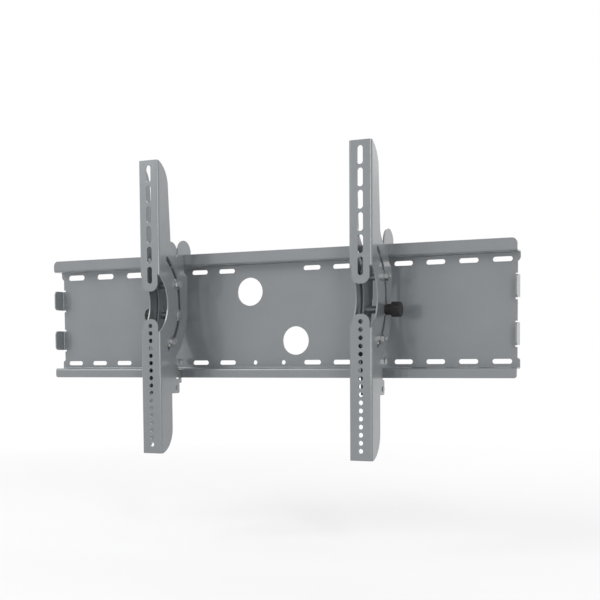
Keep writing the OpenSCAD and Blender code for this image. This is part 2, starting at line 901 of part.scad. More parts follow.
// latch outline, drawn as [y, z]: boss, arm under the lip and nose behind it
module latch_side() {
    nose_y0 = -rail_depth + plate_sheet + nose_play;
    arm_z1 = lip_bottom_z - latch_gap;
    arm_z0 = arm_z1 - latch_arm;
    lever_z0 = latch_z - latch_boss + lap / 2;
    translate([latch_y, latch_z])
        circle(latch_boss);
    rect(latch_y, nose_y0 + nose_thick - nose_round, arm_z0, arm_z1);
    round_rect(nose_y0, nose_y0 + nose_thick, arm_z0, lip_bottom_z + nose_reach, nose_round);
    // gusset between boss and arm
    polygon([
        [latch_y + latch_boss - lap, latch_z],
        [latch_y + 2 * latch_boss, arm_z0 + lap],
        [latch_y, arm_z0 + lap],
        [latch_y, latch_z]
    ]);
    // release lever
    round_rect(web_y + hook_sheet + lever_gap, latch_y, lever_z0, lever_z0 + lever_height, nose_round);
}

module latch_body() {
    difference() {
        along_x(-latch_thick / 2, latch_thick)
            latch_side();
        translate([-arm_half, latch_y, latch_z])
            rotate([0, 90, 0])
                cylinder(h = arm_width, r = pin_hole);
    }
}

// torsion spring beside the latch: closed coils, one leg on the web, one under the latch
module spring_body() {
    rc = pin_diameter / 2 + spring_play + spring_wire / 2;
    x0 = latch_thick / 2 + spring_wire / 2 + spring_gap;
    pitch = spring_wire * 0.95;
    x1 = x0 + pitch * (spring_coils - 1);
    translate([0, latch_y, latch_z]) {
        for (k = [0 : spring_coils - 1]) {
            translate([x0 + pitch * k, 0, 0])
                rotate([0, 90, 0])
                    rotate_extrude()
                        translate([rc, 0])
                            circle(spring_wire / 2);
        }
        translate([x1, 0, rc])
            rotate([90, 0, 0])
                cylinder(h = web_front - latch_pin_y - hook_sheet, r = spring_wire / 2);
        translate([x0, 0, -rc])
            rotate([-90, 0, 0])
                cylinder(h = spring_leg, r = spring_wire / 2);
    }
}

// pin through both bracket plates with a flat head at each end
module cross_pin(y, z) {
    translate([0, y, z])
        rotate([0, 90, 0]) {
            cylinder(h = 2 * hook_half, r = pin_diameter / 2, center = true);
            for (s = [0, 1]) {
                mirror([0, 0, s])
                    translate([0, 0, hook_half])
                        cylinder(h = pin_head_thick, r = pin_head / 2);
            }
        }
}

// stop block outline, drawn as [y, z]
module stop_side() {
    y0 = web_y + hook_sheet;
    y1 = -rail_depth;
    z1 = -shelf_z - stop_top_gap;
    z0 = lip_bottom_z + stop_edge;
    polygon([
        [y0, z0],
        [y1, z0],
        [y1, z1],
        [y1 - stop_flat, z1],
        [stop_pin_y + stop_boss - lap, stop_pin_z],
        [stop_pin_y - lap, stop_pin_z + stop_boss - lap],
        [y0, stop_pin_z]
    ]);
    translate([stop_pin_y, stop_pin_z])
        circle(stop_boss);
}

module stop_body() {
    difference() {
        along_x(-stop_width / 2, stop_width)
            stop_side();
        translate([-arm_half, stop_pin_y, stop_pin_z])
            rotate([0, 90, 0])
                cylinder(h = arm_width, r = pin_hole);
    }
}

// the left side is drawn with its knob on the left, the right side mirrored
module on_left() {
    translate([left_x, 0, 0])
        children();
}

module on_right() {
    translate([right_x, 0, 0])
        mirror([1, 0, 0])
            children();
}

module left_arm() {
    color(coat) on_left() arm_body();
}

module right_arm() {
    color(coat) on_right() arm_body();
}

module left_hook_bracket() {
    color(coat_dark) on_left() hook_body();
}

module right_hook_bracket() {
    color(coat_dark) on_right() hook_body();
}

module left_upper_guide_bolt() {
    color(zinc) on_left() at_upper() guide_bolt();
}

module right_upper_guide_bolt() {
    color(zinc) on_right() at_upper() guide_bolt();
}

module left_lower_guide_bolt() {
    color(zinc) on_left() at_lower() guide_bolt();
}

module right_lower_guide_bolt() {
    color(zinc) on_right() at_lower() guide_bolt();
}

module left_guide_nuts() {
    color(zinc) on_left() nut_pair();
}

module right_guide_nuts() {
    color(zinc) on_right() nut_pair();
}

module left_guide_washers() {
    color(zinc) on_left() washer_set();
}

module right_guide_washers() {
    color(zinc) on_right() washer_set();
}

module left_friction_washers() {
    color(nylon) on_left() friction_set();
}

module right_friction_washers() {
    color(nylon) on_right() friction_set();
}

module left_spacer_tubes() {
    color(zinc) on_left() spacer_set();
}

module right_spacer_tubes() {
    color(zinc) on_right() spacer_set();
}

module left_clamp_bolt() {
    color(black) on_left() clamp_bolt_body();
}

module right_clamp_bolt() {
    color(black) on_right() clamp_bolt_body();
}

module left_knob_washer() {
    color(zinc) on_left() knob_washer_body();
}

module right_knob_washer() {
    color(zinc) on_right() knob_washer_body();
}

module left_knob_insert() {
    color(brass) on_left() knob_insert_body();
}

module right_knob_insert() {
    color(brass) on_right() knob_insert_body();
}

module left_knob() {
    color(black) on_left() knob_body();
}

module right_knob() {
    color(black) on_right() knob_body();
}

module left_latch() {
    color(black) on_left() latch_body();
}

module right_latch() {
    color(black) on_right() latch_body();
}

module left_latch_pin() {
    color(black) on_left() cross_pin(latch_y, latch_z);
}

module right_latch_pin() {
    color(black) on_right() cross_pin(latch_y, latch_z);
}

module left_latch_spring() {
    color(zinc) on_left() spring_body();
}

module right_latch_spring() {
    color(zinc) on_right() spring_body();
}

module left_rail_stop() {
    color(grey) on_left() stop_body();
}

module right_rail_stop() {
    color(grey) on_right() stop_body();
}

module left_stop_pin() {
    color(black) on_left() cross_pin(stop_pin_y, stop_pin_z);
}

module right_stop_pin() {
    color(black) on_right() cross_pin(stop_pin_y, stop_pin_z);
}

wall_plate();
left_hook_bracket();
left_arm();
left_upper_guide_bolt();
left_lower_guide_bolt();
left_guide_nuts();
left_guide_washers();
left_friction_washers();
left_spacer_tubes();
left_clamp_bolt();
left_knob_washer();
left_knob_insert();
left_knob();
left_latch();
left_latch_pin();
left_latch_spring();
left_rail_stop();
left_stop_pin();
right_hook_bracket();
right_arm();
right_upper_guide_bolt();
right_lower_guide_bolt();
right_guide_nuts();
right_guide_washers();
right_friction_washers();
right_spacer_tubes();
right_clamp_bolt();
right_knob_washer();
right_knob_insert();
right_knob();
right_latch();
right_latch_pin();
right_latch_spring();
right_rail_stop();
right_stop_pin();
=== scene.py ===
"""Looks of a tilting wall mount for a flat screen, dressed round its packed construction.

The mount is a folded wall plate with two hook rails. Two tilting arms hang on the rails by
hook brackets, each clamped by a knob and held down by a spring latch. Every length is in
metres: X runs along the rails, Y points into the wall and Z is up.
"""

import json
import logging
import math
from dataclasses import dataclass, field
from enum import Enum
from typing import Callable

import bpy
from mathutils import Euler, Matrix, Vector

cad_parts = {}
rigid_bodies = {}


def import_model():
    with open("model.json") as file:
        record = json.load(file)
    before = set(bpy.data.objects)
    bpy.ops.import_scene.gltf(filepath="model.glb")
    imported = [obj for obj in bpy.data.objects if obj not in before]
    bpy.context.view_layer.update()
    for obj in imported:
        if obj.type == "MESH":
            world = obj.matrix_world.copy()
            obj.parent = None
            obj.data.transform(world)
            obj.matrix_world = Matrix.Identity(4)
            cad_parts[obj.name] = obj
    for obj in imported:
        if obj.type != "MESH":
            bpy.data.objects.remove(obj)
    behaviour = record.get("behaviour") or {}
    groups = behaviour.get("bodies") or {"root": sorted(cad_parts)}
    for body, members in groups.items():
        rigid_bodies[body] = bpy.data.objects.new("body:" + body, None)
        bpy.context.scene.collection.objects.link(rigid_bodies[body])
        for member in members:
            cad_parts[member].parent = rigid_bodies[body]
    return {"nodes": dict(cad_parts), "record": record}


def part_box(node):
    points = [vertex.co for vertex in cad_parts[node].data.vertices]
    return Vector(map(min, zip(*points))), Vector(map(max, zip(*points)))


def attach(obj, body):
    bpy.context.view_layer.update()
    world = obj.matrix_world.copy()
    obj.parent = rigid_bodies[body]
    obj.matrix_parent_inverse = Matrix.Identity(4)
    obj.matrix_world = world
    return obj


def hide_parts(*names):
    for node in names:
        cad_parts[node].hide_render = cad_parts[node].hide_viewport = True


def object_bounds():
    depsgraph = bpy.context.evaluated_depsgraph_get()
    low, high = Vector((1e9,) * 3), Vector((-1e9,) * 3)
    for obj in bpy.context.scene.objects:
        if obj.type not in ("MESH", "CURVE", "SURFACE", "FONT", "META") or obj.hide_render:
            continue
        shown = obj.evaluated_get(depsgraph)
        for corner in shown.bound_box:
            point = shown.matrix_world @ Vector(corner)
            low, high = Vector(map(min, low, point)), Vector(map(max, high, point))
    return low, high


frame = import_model()
CAD_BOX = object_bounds()

LOG = logging.getLogger("tv_wall_mount")
MM = 0.001
# vertices that lie closer together are one
MERGE = 1e-6
# faces that turn by fewer degrees are one flat face
FLAT_TURN = 0.6
# the edges of a bar's ends turn by more degrees
END_TURN = 60.0

Colour = tuple[float, float, float, float]
Tint = tuple[float, float, float]
Span = tuple[float, float]
NEUTRAL: Tint = (1.0, 1.0, 1.0)


class Side(Enum):
    """The two arms of the mount. The value is the prefix of the side's pieces."""

    LEFT = "left"
    RIGHT = "right"


class Level(Enum):
    """The two guide bolts of an arm. The value is part of the bolt's name."""

    UPPER = "upper"
    LOWER = "lower"


class Cut(Enum):
    """What is left of a piece when another is set into it. The value is the modifier's word."""

    AWAY = "DIFFERENCE"
    COMMON = "INTERSECT"


# Modelling helpers


def deselect_all() -> None:
    """Leaves nothing selected, so that an operator touches only what is picked next."""
    for obj in bpy.context.view_layer.objects.selected:
        obj.select_set(False)
    bpy.context.view_layer.objects.active = None


def pick(obj: bpy.types.Object) -> bpy.types.Object:
    """Selects one object alone and makes it the active one.

    Args:
        obj: The object to work on.

    Returns:
        The same object.
    """
    deselect_all()
    obj.select_set(True)
    bpy.context.view_layer.objects.active = obj
    return obj


def in_edit_mode(obj: bpy.types.Object, work: Callable[[], None]) -> None:
    """Runs edit-mode operators on the whole of an object's mesh.

    Args:
        obj: The object to edit.
        work: A function that calls the operators.
    """
    pick(obj)
    bpy.ops.object.mode_set(mode="EDIT")
    bpy.ops.mesh.select_all(action="SELECT")
    work()
    bpy.ops.object.mode_set(mode="OBJECT")


def apply_modifier(obj: bpy.types.Object, kind: str, **settings: object) -> None:
    """Adds a modifier, sets it and applies it.

    Args:
        obj: The object to change.
        kind: The modifier's type, such as "BEVEL".
        settings: The modifier's own properties.
    """
    pick(obj)
    modifier = obj.modifiers.new(kind.lower(), kind)
    for key, value in settings.items():
        setattr(modifier, key, value)
    bpy.ops.object.modifier_apply(modifier=modifier.name)


def settle(obj: bpy.types.Object) -> bpy.types.Object:
    """Puts an object's place, turn and scale into its mesh.

    Args:
        obj: The object to settle.

    Returns:
        The same object, now at the origin.
    """
    pick(obj)
    bpy.ops.object.transform_apply(location=True, rotation=True, scale=True)
    return obj


def placed(obj: bpy.types.Object, at: Vector, turned_over: bool = False) -> bpy.types.Object:
    """Moves a piece that was modelled at the origin to its place.

    Args:
        obj: The piece.
        at: Where its origin goes.
        turned_over: Whether the piece is first turned half round about Z.

    Returns:
        The same piece, settled.
    """
    obj.location = at
    obj.rotation_euler = (0.0, 0.0, math.pi if turned_over else 0.0)
    return settle(obj)


def joined(parts: list[bpy.types.Object], name: str) -> bpy.types.Object:
    """Joins settled objects into one piece.

    Args:
        parts: The objects, of which the first takes the others in.
        name: The new piece's name.

    Returns:
        The joined object.
    """
    deselect_all()
    for part in parts:
        part.select_set(True)
    bpy.context.view_layer.objects.active = parts[0]
    if len(parts) > 1:
        bpy.ops.object.join()
    parts[0].name = name
    parts[0].data.name = name
    return parts[0]


def carve(obj: bpy.types.Object, tool: bpy.types.Object, cut: Cut) -> None:
    """Cuts an object with another and removes the tool.

    Args:
        obj: The object to cut.
        tool: The cutting object.
        cut: What is left of the object.
    """
    apply_modifier(obj, "BOOLEAN", operation=cut.value, object=tool, solver="EXACT")
    bpy.data.objects.remove(tool, do_unlink=True)


def smooth(obj: bpy.types.Object, crease: float) -> None:
    """Shades a piece smooth except over its creases, with flat faces kept flat.

    Args:
        obj: The piece.
        crease: Edges that turn by more than this many degrees stay sharp.
    """
    pick(obj)
    bpy.ops.object.shade_smooth_by_angle(angle=math.radians(crease))
    apply_modifier(obj, "WEIGHTED_NORMAL", mode="FACE_AREA", weight=100, keep_sharp=True)


def close_shell() -> None:
    """Merges doubles, closes the open ends and turns the faces outwards, in edit mode."""
    bpy.ops.mesh.remove_doubles(threshold=MERGE)
    bpy.ops.mesh.fill_holes(sides=0)
    bpy.ops.mesh.normals_make_consistent(inside=False)


# turns of a primitive whose own axis is Z
ALONG_X = (math.radians(90.0), 0.0, math.radians(90.0))
ALONG_Y = (math.radians(90.0), 0.0, 0.0)


def rod(radius: float, start: float, end: float, sides: int = 64, rim: float = 0.0) -> bpy.types.Object:
    """Models a round bar along X.

    Args:
        radius: Radius of the bar.
        start: Where it starts on X.
        end: Where it ends on X.
        sides: Number of facets round it.
        rim: Width of the chamfer at both ends, or 0 for sharp ends.

    Returns:
        The bar.
    """
    deselect_all()
    bpy.ops.mesh.primitive_cylinder_add(
        vertices=sides, radius=radius, depth=abs(end - start),
        location=((start + end) / 2, 0.0, 0.0), rotation=ALONG_X,
    )
    bar = settle(bpy.context.object)
    if rim > 0.0:
        apply_modifier(
            bar, "BEVEL", width=rim, segments=1, limit_method="ANGLE",
            angle_limit=math.radians(END_TURN),
        )
    return bar


@dataclass(frozen=True)
class Hexagon:
    """A hexagon head or nut that lies along X, its corners chamfered as a lathe does.

    Attributes:
        across_flats: Wrench size.
        height: Length along X.
        face_share: Diameter of the round face, as a share of the wrench size.
        slope: Angle between the chamfer and the face, in degrees.
        steps: Facets round the chamfer.
    """

    across_flats: float = 13.0 * MM
    height: float = 5.3 * MM
    face_share: float = 0.94
    slope: float = 30.0
    steps: int = 96

    def build(self, chamfer_start: bool) -> bpy.types.Object:
        """Models the hexagon from X = 0 to its height, with corners up and down.

        Args:
            chamfer_start: Whether the end at X = 0 is chamfered too.

        Returns:
            The hexagon.
        """
        deselect_all()
        bpy.ops.mesh.primitive_cylinder_add(
            vertices=6, radius=self.across_flats / math.sqrt(3.0), depth=self.height,
            location=(self.height / 2, 0.0, 0.0), rotation=ALONG_X,
        )
        block = settle(bpy.context.object)
        carve(block, self.chamfer_tool(at_start=False), Cut.COMMON)
        if chamfer_start:
            carve(block, self.chamfer_tool(at_start=True), Cut.COMMON)
        return block

    def chamfer_tool(self, at_start: bool) -> bpy.types.Object:
        """A cone that leaves the round face at one end and only cuts corners.

        Args:
            at_start: Whether the narrow end lies at X = 0 or at the far face.

        Returns:
            The cone, as long as the hexagon is high.
        """
        narrow = self.across_flats * self.face_share / 2
        wide = narrow + self.height / math.tan(math.radians(self.slope))
        deselect_all()
        bpy.ops.mesh.primitive_cone_add(
            vertices=self.steps, radius1=narrow if at_start else wide, radius2=wide if at_start else narrow,
            depth=self.height, location=(self.height / 2, 0.0, 0.0), rotation=ALONG_X,
        )
        return settle(bpy.context.object)


@dataclass(frozen=True)
class Thread:
    """A rolled coarse thread along X.

    Attributes:
        major: Diameter over the crests.
        pitch: Advance for each turn.
        turns: Number of turns that are modelled.
        steps: Facets round a turn.
        depth: Depth of the thread, as a share of the pitch.
        crest: Width of a crest and of a root's two halves, as a share of the pitch.
        flank: Advance along a flank, as a share of the pitch.
    """

    major: float = 8.0 * MM
    pitch: float = 1.25 * MM
    turns: int = 3
    steps: int = 40
    depth: float = 0.61
    crest: float = 0.125
    flank: float = 0.3125

    @property
    def core(self) -> float:
        """Radius at the bottom of the thread."""
        return self.major / 2 - self.depth * self.pitch

    def build(self) -> bpy.types.Object:
        """Models the thread from X = 0 onwards, closed at both ends.

        Returns:
            The threaded length.
        """
        level = (self.pitch * self.crest, 0.0)
        up = (self.pitch * self.flank, self.depth * self.pitch)
        down = (up[0], -up[1])
        deselect_all()
        bpy.ops.mesh.primitive_plane_add(size=self.pitch, location=(0.0, 0.0, self.core))
        length = settle(bpy.context.object)
        moves = [level, up, level, down, level]
        in_edit_mode(length, lambda: self.draw_profile(moves))
        apply_modifier(
            length, "SCREW", axis="X", angle=math.tau, screw_offset=self.pitch, iterations=self.turns,
            steps=self.steps, render_steps=self.steps, use_merge_vertices=True, merge_threshold=MERGE,
        )
        in_edit_mode(length, close_shell)
        return length

    @staticmethod
    def draw_profile(moves: list[tuple[float, float]]) -> None:
        """Shrinks the start face to a point and draws the tooth from it.

        Args:
            moves: Steps along X and away from the axis.
        """
        bpy.ops.mesh.merge(type="CENTER")
        for along, out in moves:
            bpy.ops.mesh.extrude_region_move(TRANSFORM_OT_translate={"value": (along, 0.0, out)})


# Finishes


UNIT: Span = (0.0, 1.0)
# where a noise's values begin and end to count: evenly, in patches, in sparse specks
SOFT: Span = (0.3, 0.7)
PATCHY: Span = (0.35, 0.7)
SPARSE: Span = (0.35, 0.75)
# how alike the true and the rounded normal are on flat stretches and on edges
EDGE_TEST: Span = (0.995, 0.80)


@dataclass(frozen=True)
class Grain:
    """A fine relief in a surface.

    Attributes:
        scale: Cells per metre.
        depth: Real height of the relief.
        share: Share of the relief that shows.
        detail: Octaves of its noise.
        stretch: Scale of its pattern on each axis, or None for an even one.
    """

    scale: float
    depth: float
    share: float = 0.5
    detail: float = 2.0
    stretch: Tint | None = None


@dataclass(frozen=True)
class EdgeLightening:
    """Edges painted lighter than the rest: rubbed wear on most finishes, a painted highlight on the powder
    coat.

    Attributes:
        reach: Width of the lighter band.
        level: Lightness there, as a share of the finish's own.
        share: How far the edges themselves are lightened.
    """

    reach: float
    level: float
    share: float = 1.0


class Nodes:
    """A thin layer over a material's node tree, to write shaders as short lines."""

    def __init__(self, name: str) -> None:
        """Starts a material with a Principled shader and nothing else.

        Args:
            name: The material's name.
        """
        self.material = bpy.data.materials.new(name)
        self.material.use_nodes = True
        self.tree = self.material.node_tree
        self.tree.nodes.clear()
        self.output = self.add("ShaderNodeOutputMaterial")
        self.shader = self.add("ShaderNodeBsdfPrincipled")
        self.link(self.shader.outputs["BSDF"], self.output.inputs["Surface"])
        self.coordinates = self.add("ShaderNodeTexCoord").outputs["Object"]

    def add(self, kind: str, **inputs: object) -> bpy.types.Node:
        """Adds a node and sets its input sockets by name.

        Args:
            kind: The node's type.
            inputs: Values or output sockets, keyed by socket name with underscores for spaces.

        Returns:
            The new node.
        """
        node = self.tree.nodes.new(kind)
        for key, value in inputs.items():
            self.feed(node.inputs[key.replace("_", " ")], value)
        return node

    def feed(self, socket: bpy.types.NodeSocket, value: object) -> None:
        """Links or sets one input socket.

        Args:
            socket: The input socket.
            value: An output socket to link, or a plain value to set.
        """
        if isinstance(value, bpy.types.NodeSocket):
            self.link(value, socket)
        else:
            socket.default_value = value

    def link(self, start: bpy.types.NodeSocket, end: bpy.types.NodeSocket) -> None:
        """Links two sockets."""
        self.tree.links.new(start, end)

    def shade(self, **inputs: object) -> None:
        """Sets or links sockets of the surface's own shader.

        Args:
            inputs: Values or output sockets, keyed by socket name with underscores for spaces.
        """
        for key, value in inputs.items():
            self.feed(self.shader.inputs[key.replace("_", " ")], value)

    def noise(
        self, scale: float, detail: float = 2.0, stretch: Tint | None = None
    ) -> bpy.types.NodeSocket:
        """Noise over object coordinates.

        Args:
            scale: Cells per metre.
            detail: Octaves of the noise.
            stretch: Scale of the pattern on each axis, or None for an even one.

        Returns:
            The noise's value socket.
        """
        place = self.coordinates
        if stretch is not None:
            place = self.add("ShaderNodeMapping", Vector=place, Scale=stretch).outputs["Vector"]
        return self.add("ShaderNodeTexNoise", Vector=place, Scale=scale, Detail=detail).outputs["Fac"]

    def ramp(self, value: bpy.types.NodeSocket, span: Span, result: Span) -> bpy.types.NodeSocket:
        """Maps a value from one span onto another, with its ends held.

        Args:
            value: The value's socket.
            span: The span of values that count.
            result: What the span's ends become.

        Returns:
            The mapped value's socket.
        """
        node = self.add(
            "ShaderNodeMapRange", Value=value, From_Min=span[0], From_Max=span[1],
            To_Min=result[0], To_Max=result[1],
        )
        return node.outputs["Result"]

    def mix(self, share: object, first: object, second: object) -> bpy.types.NodeSocket:
        """Mixes two colours.

        Args:
            share: Share of the second colour, from 0 to 1.
            first: The first colour or its socket.
            second: The second colour or its socket.

        Returns:
            The mixed colour's socket.
        """
        node = self.tree.nodes.new("ShaderNodeMix")
        node.data_type = "RGBA"
        # the sockets of a colour mix come after those of a value mix, under the same names
        for place, value in zip((0, 6, 7), (share, first, second)):
            self.feed(node.inputs[place], value)
        return node.outputs[2]

    def roughen(self, scale: float, rough: Span, detail: float = 2.0) -> None:
        """Lets the shader's roughness drift.

        Args:
            scale: Cells per metre.
            rough: Least and most roughness.
            detail: Octaves of the drift.
        """
        self.shade(Roughness=self.ramp(self.noise(scale, detail), SOFT, rough))

    def grain(self, grain: Grain) -> None:
        """Gives the shader a fine relief.

        Args:
            grain: The relief.
        """
        height = self.noise(grain.scale, grain.detail, grain.stretch)
        bump = self.add("ShaderNodeBump", Height=height, Distance=grain.depth, Strength=grain.share)
        self.shade(Normal=bump.outputs["Normal"])

    def edge_lightening(self, edge_lightening: EdgeLightening, body: object, edge_tone: object) -> bpy.types.NodeSocket:
        """Paints a lighter colour on the edges, which are found by rounding the corners: rubbed wear on
        most finishes, a painted highlight on the powder coat.

        Args:
            edge_lightening: How far the edges are lightened.
            body: The colour on flat stretches.
            edge_tone: The colour of a lightened edge.

        Returns:
            The colour's socket.
        """
        rounded = self.add("ShaderNodeBevel", Radius=edge_lightening.reach)
        plain = self.add("ShaderNodeNewGeometry")
        compare = self.tree.nodes.new("ShaderNodeVectorMath")
        compare.operation = "DOT_PRODUCT"
        self.link(rounded.outputs["Normal"], compare.inputs[0])
        self.link(plain.outputs["Normal"], compare.inputs[1])
        return self.mix(self.ramp(compare.outputs["Value"], EDGE_TEST, (0.0, edge_lightening.share)), body, edge_tone)


def grey(level: float, tint: Tint = NEUTRAL) -> Colour:
    """A colour of a given lightness with a slight tint."""
    return (level * tint[0], level * tint[1], level * tint[2], 1.0)


@dataclass(frozen=True)
class PowderCoat:
    """Silver-grey powder coat, baked on sheet steel: a fine pebbled skin over a faint metal flake.

    Attributes:
        name: The material's name.
        level: Lightness of the coat.
        tint: Its slight colour.
        metallic: Share of metal in it.
        skin: Share of the clear skin over it.
        skin_roughness: Roughness of that skin.
        roughness: Least and most roughness below the skin.
        rough_scale: Cells per metre of the roughness.
        clouds: Least and most lightness, as shares of the level.
        cloud_scale: Cells per metre of the clouds.
        flake: Size of a metal flake.
        flake_level: Lightness of a flake, as a share of the level.
        flake_share: How much of a flake shows.
        edge_lightening: A painted highlight: the coat's edges are painted lighter than the coat.
        grain: The pebbled skin.
    """

    name: str = "powder_coat"
    level: float = 0.185
    tint: Tint = (0.92, 1.0, 1.055)
    metallic: float = 0.3
    skin: float = 1.0
    skin_roughness: float = 0.1
    roughness: Span = (0.32, 0.41)
    rough_scale: float = 40.0
    clouds: Span = (0.95, 1.05)
    cloud_scale: float = 9.0
    flake: float = 0.45 * MM
    flake_level: float = 1.7
    flake_share: float = 0.22
    # painted highlight on the coat's edges, at 1.6 times the coat's lightness
    edge_lightening: EdgeLightening = EdgeLightening(0.5 * MM, 1.6, 0.3)
    grain: Grain = Grain(1.0 / (1.1 * MM), 0.05 * MM)

    def tone(self, share: float) -> Colour:
        """The coat's colour at a share of its lightness."""
        return grey(self.level * share, self.tint)

    def build(self) -> bpy.types.Material:
        """Makes the finish's material.

        Returns:
            The material.
        """
        n = Nodes(self.name)
        cloud = n.ramp(n.noise(self.cloud_scale, detail=3.0), SOFT, UNIT)
        body = n.mix(cloud, self.tone(self.clouds[0]), self.tone(self.clouds[1]))
        flake = n.ramp(n.noise(1.0 / self.flake, detail=1.0), SPARSE, (0.0, self.flake_share))
        speckled = n.mix(flake, body, self.tone(self.flake_level))
        # painted highlight: the base colour is made lighter along the edges
        n.shade(
            Base_Color=n.edge_lightening(self.edge_lightening, speckled, self.tone(self.edge_lightening.level)), Metallic=self.metallic,
            Coat_Weight=self.skin, Coat_Roughness=self.skin_roughness,
        )
        n.roughen(self.rough_scale, self.roughness, detail=3.0)
        n.grain(self.grain)
        return n.material


@dataclass(frozen=True)
class ZincPlate:
    """Bright zinc on turned or pressed steel: a metal shine with fine marks and a faint bloom.

    Attributes:
        name: The material's name.
        level: Lightness of the metal.
        cool: Its slight colour.
        warm: The slight colour of the bloom.
        warm_level: Lightness of the bloom, as a share of the level.
        bloom_scale: Cells per metre of the bloom.
        metallic: Share of metal.
        roughness: Least and most roughness.
        rough_scale: Cells per metre of the roughness.
        edge_lightening: Wear of the edges.
        grain: The marks of the tool, drawn out round the axis.
    """

    name: str = "bright_zinc"
    level: float = 0.42
    cool: Tint = (0.96, 1.0, 1.03)
    warm: Tint = (1.01, 1.0, 0.98)
    warm_level: float = 0.86
    bloom_scale: float = 320.0
    metallic: float = 0.9
    roughness: Span = (0.24, 0.40)
    rough_scale: float = 700.0
    edge_lightening: EdgeLightening = EdgeLightening(0.3 * MM, 1.25)
    grain: Grain = Grain(900.0, 0.03 * MM, stretch=(3.0, 0.6, 0.6))

    def build(self) -> bpy.types.Material:
        """Makes the finish's material.

        Returns:
            The material.
        """
        n = Nodes(self.name)
        bloom = n.ramp(n.noise(self.bloom_scale, detail=3.0), PATCHY, UNIT)
        tone = n.mix(bloom, grey(self.level, self.cool), grey(self.level * self.warm_level, self.warm))
        n.shade(
            Base_Color=n.edge_lightening(self.edge_lightening, tone, grey(self.level * self.edge_lightening.level)), Metallic=self.metallic
        )
        n.roughen(self.rough_scale, self.roughness)
        n.grain(self.grain)
        return n.material


@dataclass(frozen=True)
class BlackOxide:
    """Blackened steel: a dark oily sheen that goes grey on its edges.

    Attributes:
        name: The material's name.
        level: Lightness of the blackened metal.
        patch_level: Lightness of its paler patches, as a share of the level.
        patch_tint: Slight colour of the patches.
        patch_scale: Cells per metre of the patches.
        metallic: Share of metal.
        roughness: Least and most roughness.
        rough_scale: Cells per metre of the roughness.
        edge_lightening: Wear of the edges.
        grain: The etched skin.
    """

    name: str = "black_oxide"
    level: float = 0.030
    patch_level: float = 1.5
    patch_tint: Tint = (1.0, 0.98, 0.96)
    patch_scale: float = 160.0
    metallic: float = 0.6
    roughness: Span = (0.32, 0.48)
    rough_scale: float = 500.0
    edge_lightening: EdgeLightening = EdgeLightening(0.35 * MM, 5.0)
    grain: Grain = Grain(1500.0, 0.02 * MM)

    def build(self) -> bpy.types.Material:
        """Makes the finish's material.

        Returns:
            The material.
        """
        n = Nodes(self.name)
        patch = n.ramp(n.noise(self.patch_scale, detail=3.0), PATCHY, UNIT)
        tone = n.mix(patch, grey(self.level), grey(self.level * self.patch_level, self.patch_tint))
        n.shade(
            Base_Color=n.edge_lightening(self.edge_lightening, tone, grey(self.level * self.edge_lightening.level)), Metallic=self.metallic
        )
        n.roughen(self.rough_scale, self.roughness)
        n.grain(self.grain)
        return n.material


@dataclass(frozen=True)
class MouldedPlastic:
    """Moulded plastic with an eroded, matt skin.

    Attributes:
        name: The material's name.
        level: Lightness of the plastic.
        tint: Its slight colour.
        sheen: How much it mirrors.
        roughness: Least and most roughness.
        rough_scale: Cells per metre of the roughness.
        flow: Least and most lightness along the flow, as shares of the level.
        flow_scale: Cells per metre of the flow.
        edge_lightening: Wear of the edges.
        grain: The eroded skin.
    """

    name: str
    level: float
    tint: Tint = NEUTRAL
    sheen: float = 0.5
    roughness: Span = (0.43, 0.55)
    rough_scale: float = 400.0
    flow: Span = (0.92, 1.08)
    flow_scale: float = 120.0
    edge_lightening: EdgeLightening = EdgeLightening(0.5 * MM, 1.5, 0.5)
    grain: Grain = Grain(2600.0, 0.04 * MM, 0.6, detail=1.0)

    def tone(self, share: float) -> Colour:
        """The plastic's colour at a share of its lightness."""
        return grey(self.level * share, self.tint)

    def build(self) -> bpy.types.Material:
        """Makes the finish's material.

        Returns:
            The material.
        """
        n = Nodes(self.name)
        flow = n.ramp(n.noise(self.flow_scale), SOFT, UNIT)
        tone = n.mix(flow, self.tone(self.flow[0]), self.tone(self.flow[1]))
        n.shade(
            Base_Color=n.edge_lightening(self.edge_lightening, tone, self.tone(self.edge_lightening.level)), Specular_IOR_Level=self.sheen
        )
        n.roughen(self.rough_scale, self.roughness)
        n.grain(self.grain)
        return n.material


@dataclass(frozen=True)
class TurnedBrass:
    """Brass turned on a lathe.

    Attributes:
        name: The material's name.
        bright: Colour of the bright metal.
        dull: Colour of its tarnish.
        tarnish_scale: Cells per metre of the tarnish.
        roughness: Least and most roughness.
        rough_scale: Cells per metre of the roughness.
        grain: The marks of the tool, drawn out round the axis.
    """

    name: str = "turned_brass"
    bright: Colour = (0.62, 0.44, 0.16, 1.0)
    dull: Colour = (0.50, 0.33, 0.11, 1.0)
    tarnish_scale: float = 300.0
    roughness: Span = (0.23, 0.38)
    rough_scale: float = 600.0
    grain: Grain = Grain(800.0, 0.03 * MM, detail=1.0, stretch=(4.0, 0.2, 0.2))

    def build(self) -> bpy.types.Material:
        """Makes the finish's material.

        Returns:
            The material.
        """
        n = Nodes(self.name)
        tarnish = n.ramp(n.noise(self.tarnish_scale, detail=3.0), PATCHY, UNIT)
        n.shade(Base_Color=n.mix(tarnish, self.bright, self.dull), Metallic=1.0)
        n.roughen(self.rough_scale, self.roughness)
        n.grain(self.grain)
        return n.material


class Finish(Enum):
    """The mount's finishes, each with the record's material slot that it dresses."""

    COAT = "coated_steel"
    ZINC = "zinc_steel"
    BLACK = "black_steel"
    PLASTIC = "black_plastic"
    GREY_PLASTIC = "grey_plastic"
    NYLON = "nylon"
    BRASS = "brass"


